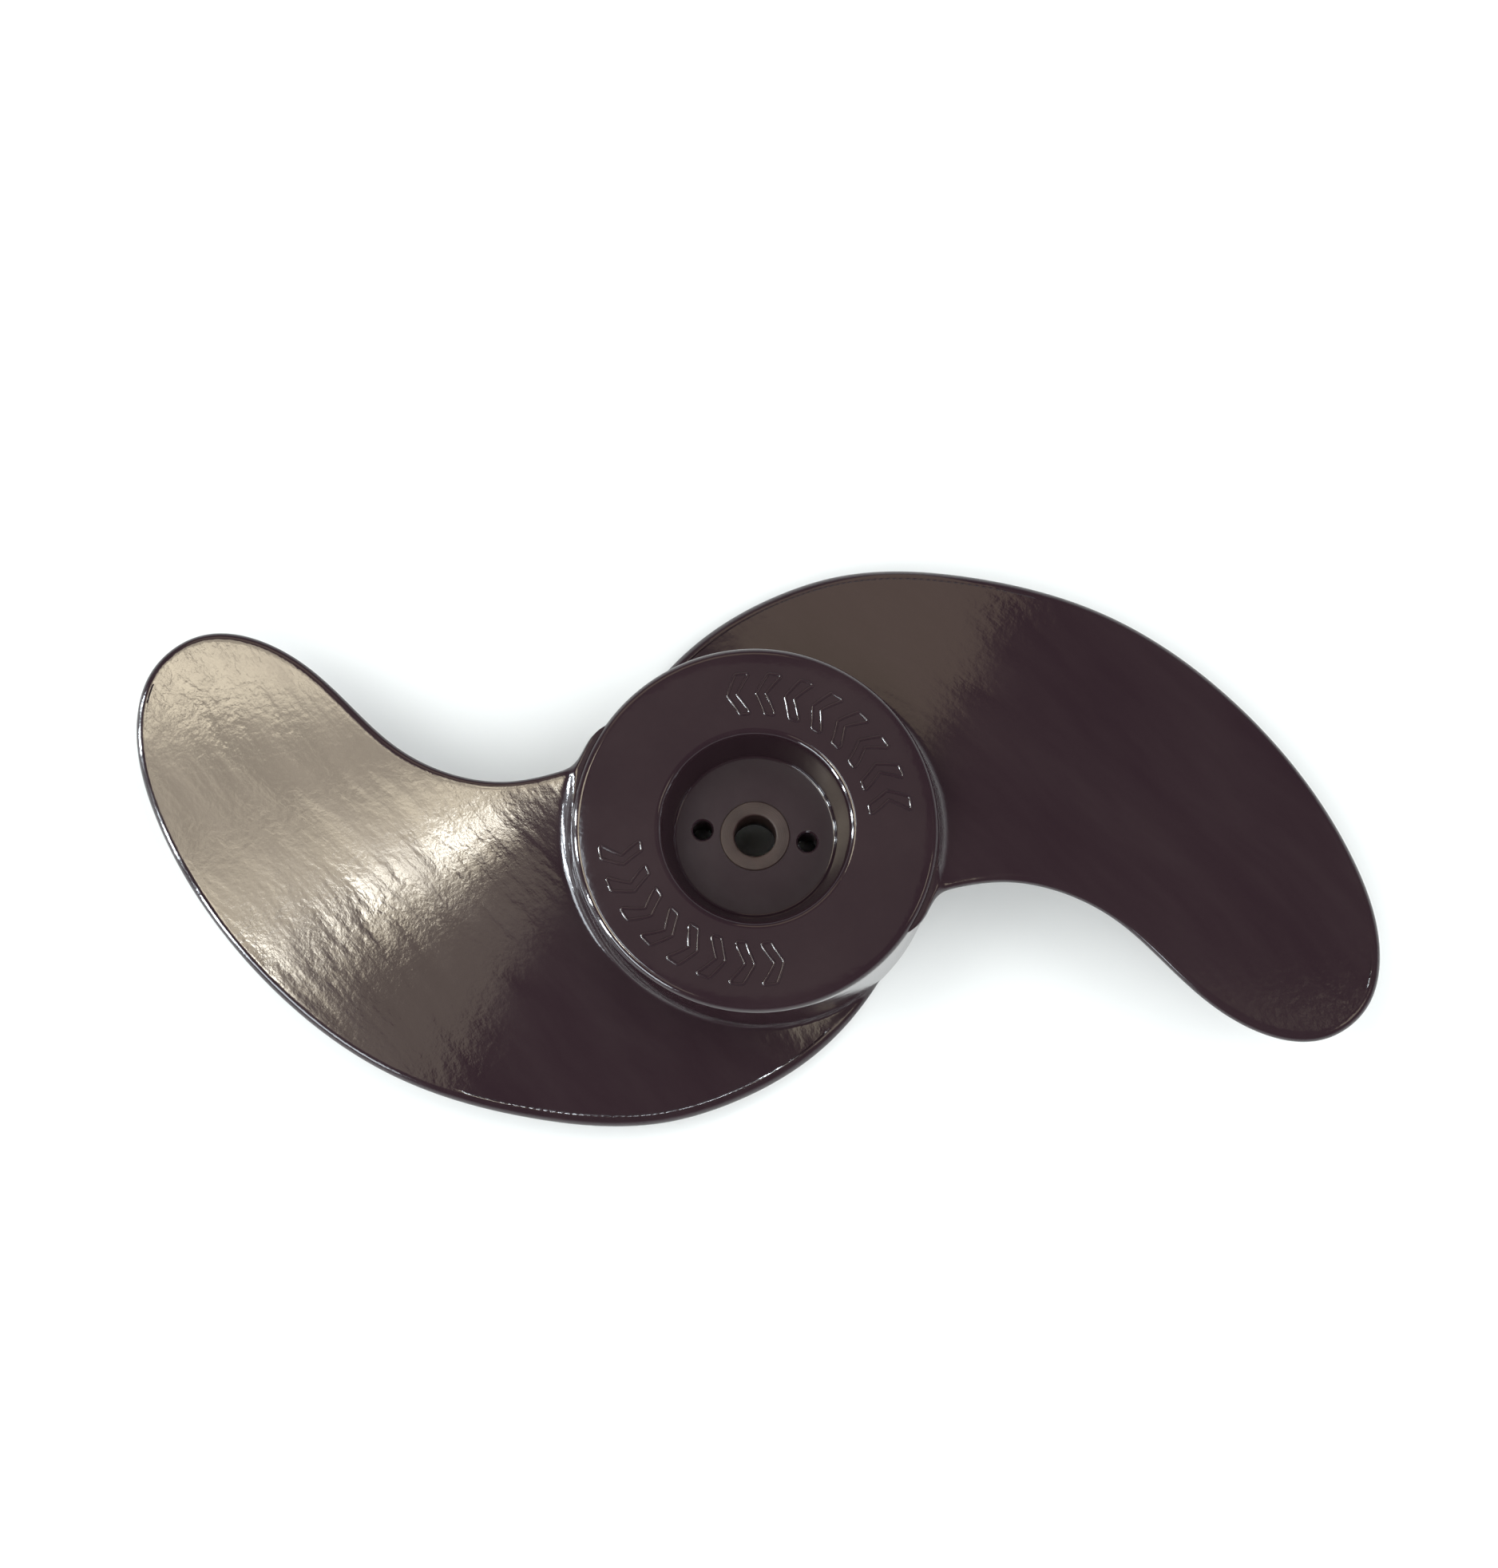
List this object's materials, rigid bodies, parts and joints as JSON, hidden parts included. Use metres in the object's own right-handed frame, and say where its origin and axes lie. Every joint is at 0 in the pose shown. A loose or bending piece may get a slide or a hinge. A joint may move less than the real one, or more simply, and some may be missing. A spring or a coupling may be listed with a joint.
{
  "type": "propeller",
  "caption": "Weedless swept-blade boat propeller for an electric outboard motor, with a drafted hub, nut recess, shaft bush and drive-pin slot.",
  "frame": {"origin": "centre of the hub's motor-side rim plane, on the shaft axis; the propeller stands on this rim", "axes": "+Z along the shaft axis from the motor towards the nut; +X along the longest extent, from blade tip to blade tip; blade_1 is on the +X side"},
  "size_m": [0.2856, 0.131, 0.0381],
  "materials": {
    "black_plastic": "glossy injection-moulded warm black, with faint flow marks on the blades",
    "bush_plastic": "matt dark grey-brown, slightly rubbed"
  },
  "bodies": {
    "root": {"hub_shell": "black_plastic", "recess_cup": "black_plastic", "drive_boss": "black_plastic", "shaft_bush": "bush_plastic", "rib_1": "black_plastic", "rib_2": "black_plastic", "rib_3": "black_plastic", "rib_4": "black_plastic", "rib_5": "black_plastic", "rib_6": "black_plastic", "blade_1": "black_plastic", "blade_2": "black_plastic", "turn_mark_1": "black_plastic", "turn_mark_2": "black_plastic"}
  },
  "joints": []
}
